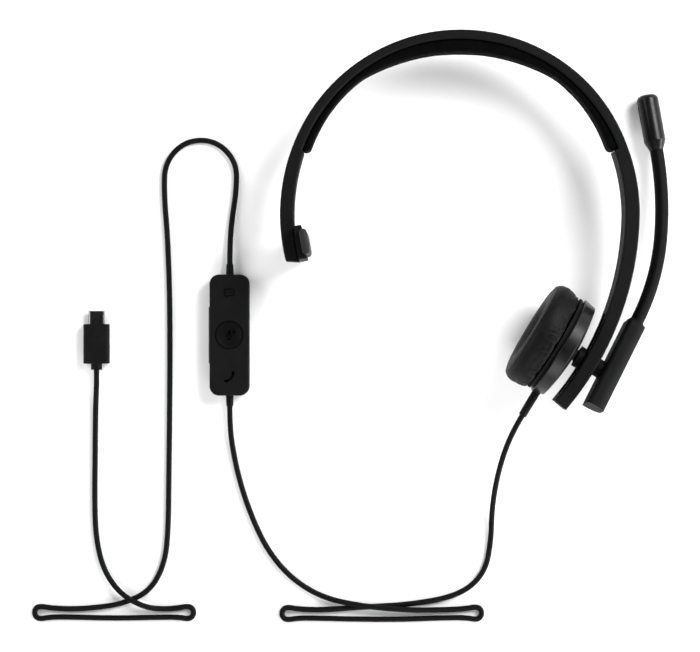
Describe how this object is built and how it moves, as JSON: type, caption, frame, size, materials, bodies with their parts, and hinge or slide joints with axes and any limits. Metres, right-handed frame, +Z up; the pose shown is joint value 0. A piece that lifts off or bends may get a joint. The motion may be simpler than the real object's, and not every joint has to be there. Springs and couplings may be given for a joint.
{
  "type": "office headset",
  "caption": "Single-sided office headset: slotted headband with temple bar, on-ear cup, swinging microphone boom, and a corded in-line remote with USB-C plug.",
  "frame": {"origin": "centre of the headset's footprint without its cord, on the table it lies on", "axes": "+Z up from the table, across the width of the headband; +Y towards the crown of the headband; +X from the temple bar towards the ear cup and boom"},
  "size_m": [0.3239, 0.2988, 0.0524],
  "materials": {
    "satin_black_plastic": "fine satin texture, faint blue-grey sheen",
    "gloss_black_plastic": "smooth moulded",
    "grey_rubber": "soft matte",
    "cord_rubber": "matte jacket",
    "leatherette": "fine grain, gathered at the seam",
    "pad_fabric": "soft padded skin",
    "dark_chrome": "plated shell",
    "steel": "fine",
    "circuit_board": "solder mask",
    "copper_wire": "enamelled",
    "acoustic_cloth": "woven mesh",
    "foam": "open-cell foam",
    "white_mylar": "thin film",
    "insulator_plastic": "moulded"
  },
  "bodies": {
    "earcup": {"cup_housing": "satin_black_plastic", "ball_retainer": "satin_black_plastic", "retainer_screws": "steel", "driver_baffle": "satin_black_plastic", "baffle_screws": "steel", "cushion_ring": "satin_black_plastic", "ear_cushion": "leatherette", "acoustic_mesh": "acoustic_cloth", "driver_frame": "satin_black_plastic", "driver_magnet": "steel", "driver_voice_coil": "copper_wire", "driver_diaphragm": "white_mylar", "damping_felt": "foam", "cup_circuit_board": "circuit_board", "cable_clamp": "satin_black_plastic", "cable_boot": "cord_rubber", "cord_cup_to_remote": "cord_rubber", "cord_remote_to_plug": "cord_rubber", "remote_back_cover": "satin_black_plastic", "remote_front_frame": "satin_black_plastic", "remote_screws": "steel", "remote_circuit_board": "circuit_board", "tactile_switches": "insulator_plastic", "remote_collar_lower": "cord_rubber", "remote_collar_upper": "cord_rubber", "plug_body": "satin_black_plastic", "plug_shell": "dark_chrome", "plug_insulator": "insulator_plastic", "plug_circuit_board": "circuit_board", "plug_collar": "cord_rubber"},
    "ball_liner": {"ball_liner": "gloss_black_plastic"},
    "neck": {"neck_stem": "satin_black_plastic", "slider_shoe": "gloss_black_plastic", "shoe_friction_spring": "steel", "boom_friction_washer": "steel", "boom_pivot_screw": "steel"},
    "headband": {"headband": "satin_black_plastic", "headband_pad": "pad_fabric", "band_spring_strip": "steel", "band_end_cap": "satin_black_plastic", "slider_stop_pin": "steel", "temple_bar_holder": "satin_black_plastic", "temple_bar_pad": "grey_rubber", "temple_bar_screws": "steel"},
    "boom_base": {"boom_base": "satin_black_plastic", "boom_base_cover": "satin_black_plastic", "boom_arm_lower": "cord_rubber"},
    "boom_middle": {"boom_arm_middle": "cord_rubber"},
    "mic_head": {"boom_arm_upper": "cord_rubber", "mic_shell_front": "satin_black_plastic", "mic_shell_back": "satin_black_plastic", "mic_capsule": "steel", "mic_foam": "foam"},
    "mute_button": {"mute_button": "gloss_black_plastic"},
    "key_plate": {"remote_key_plate": "satin_black_plastic"},
    "volume_rocker": {"volume_rocker": "gloss_black_plastic"}
  },
  "joints": [
    {"name": "cup_tilt", "type": "hinge", "parent": "earcup", "child": "ball_liner", "pos_m": [0.0464, -0.06452, 0.0262], "axis": [0, 0, 1], "range_deg": [-5, 9]},
    {"name": "cup_swivel", "type": "hinge", "parent": "ball_liner", "child": "neck", "pos_m": [0.0464, -0.06452, 0.0262], "axis": [0.4924, 0.8704, 0], "range_deg": [-9, 9]},
    {"name": "size_adjust", "type": "hinge", "parent": "neck", "child": "headband", "pos_m": [-0.0715, 0.0055, 0.0262], "axis": [0, 0, 1], "range_deg": [-7, 5]},
    {"name": "boom_swing", "type": "hinge", "parent": "neck", "child": "boom_base", "pos_m": [0.06776, -0.0766, 0.0262], "axis": [0.8704, -0.4924, 0], "range_deg": [-145, 145]},
    {"name": "boom_bend_lower", "type": "hinge", "parent": "boom_base", "child": "boom_middle", "pos_m": [0.09041, -0.02893, 0.01795], "axis": [0.0762, 0.1347, 0.988], "range_deg": [-25, 14]},
    {"name": "boom_bend_upper", "type": "hinge", "parent": "boom_middle", "child": "mic_head", "pos_m": [0.09559, 0.01076, 0.01215], "axis": [0.0762, 0.1347, 0.988], "range_deg": [-25, 25]},
    {"name": "mute_press", "type": "slide", "parent": "earcup", "child": "mute_button", "axis": [0, 0, -1], "range_m": [0, 0.0005], "stiffness_N_per_m": 2000},
    {"name": "key_rock", "type": "hinge", "parent": "earcup", "child": "key_plate", "pos_m": [-0.1236, -0.05685, 0.0076], "axis": [1, 0, 0], "range_deg": [-0.8, 0.8], "stiffness_Nm_per_rad": 8},
    {"name": "volume_rock", "type": "hinge", "parent": "earcup", "child": "volume_rocker", "pos_m": [-0.1329, -0.05685, 0.00425], "axis": [0, 0, 1], "range_deg": [-2.2, 2.2], "stiffness_Nm_per_rad": 2}
  ]
}
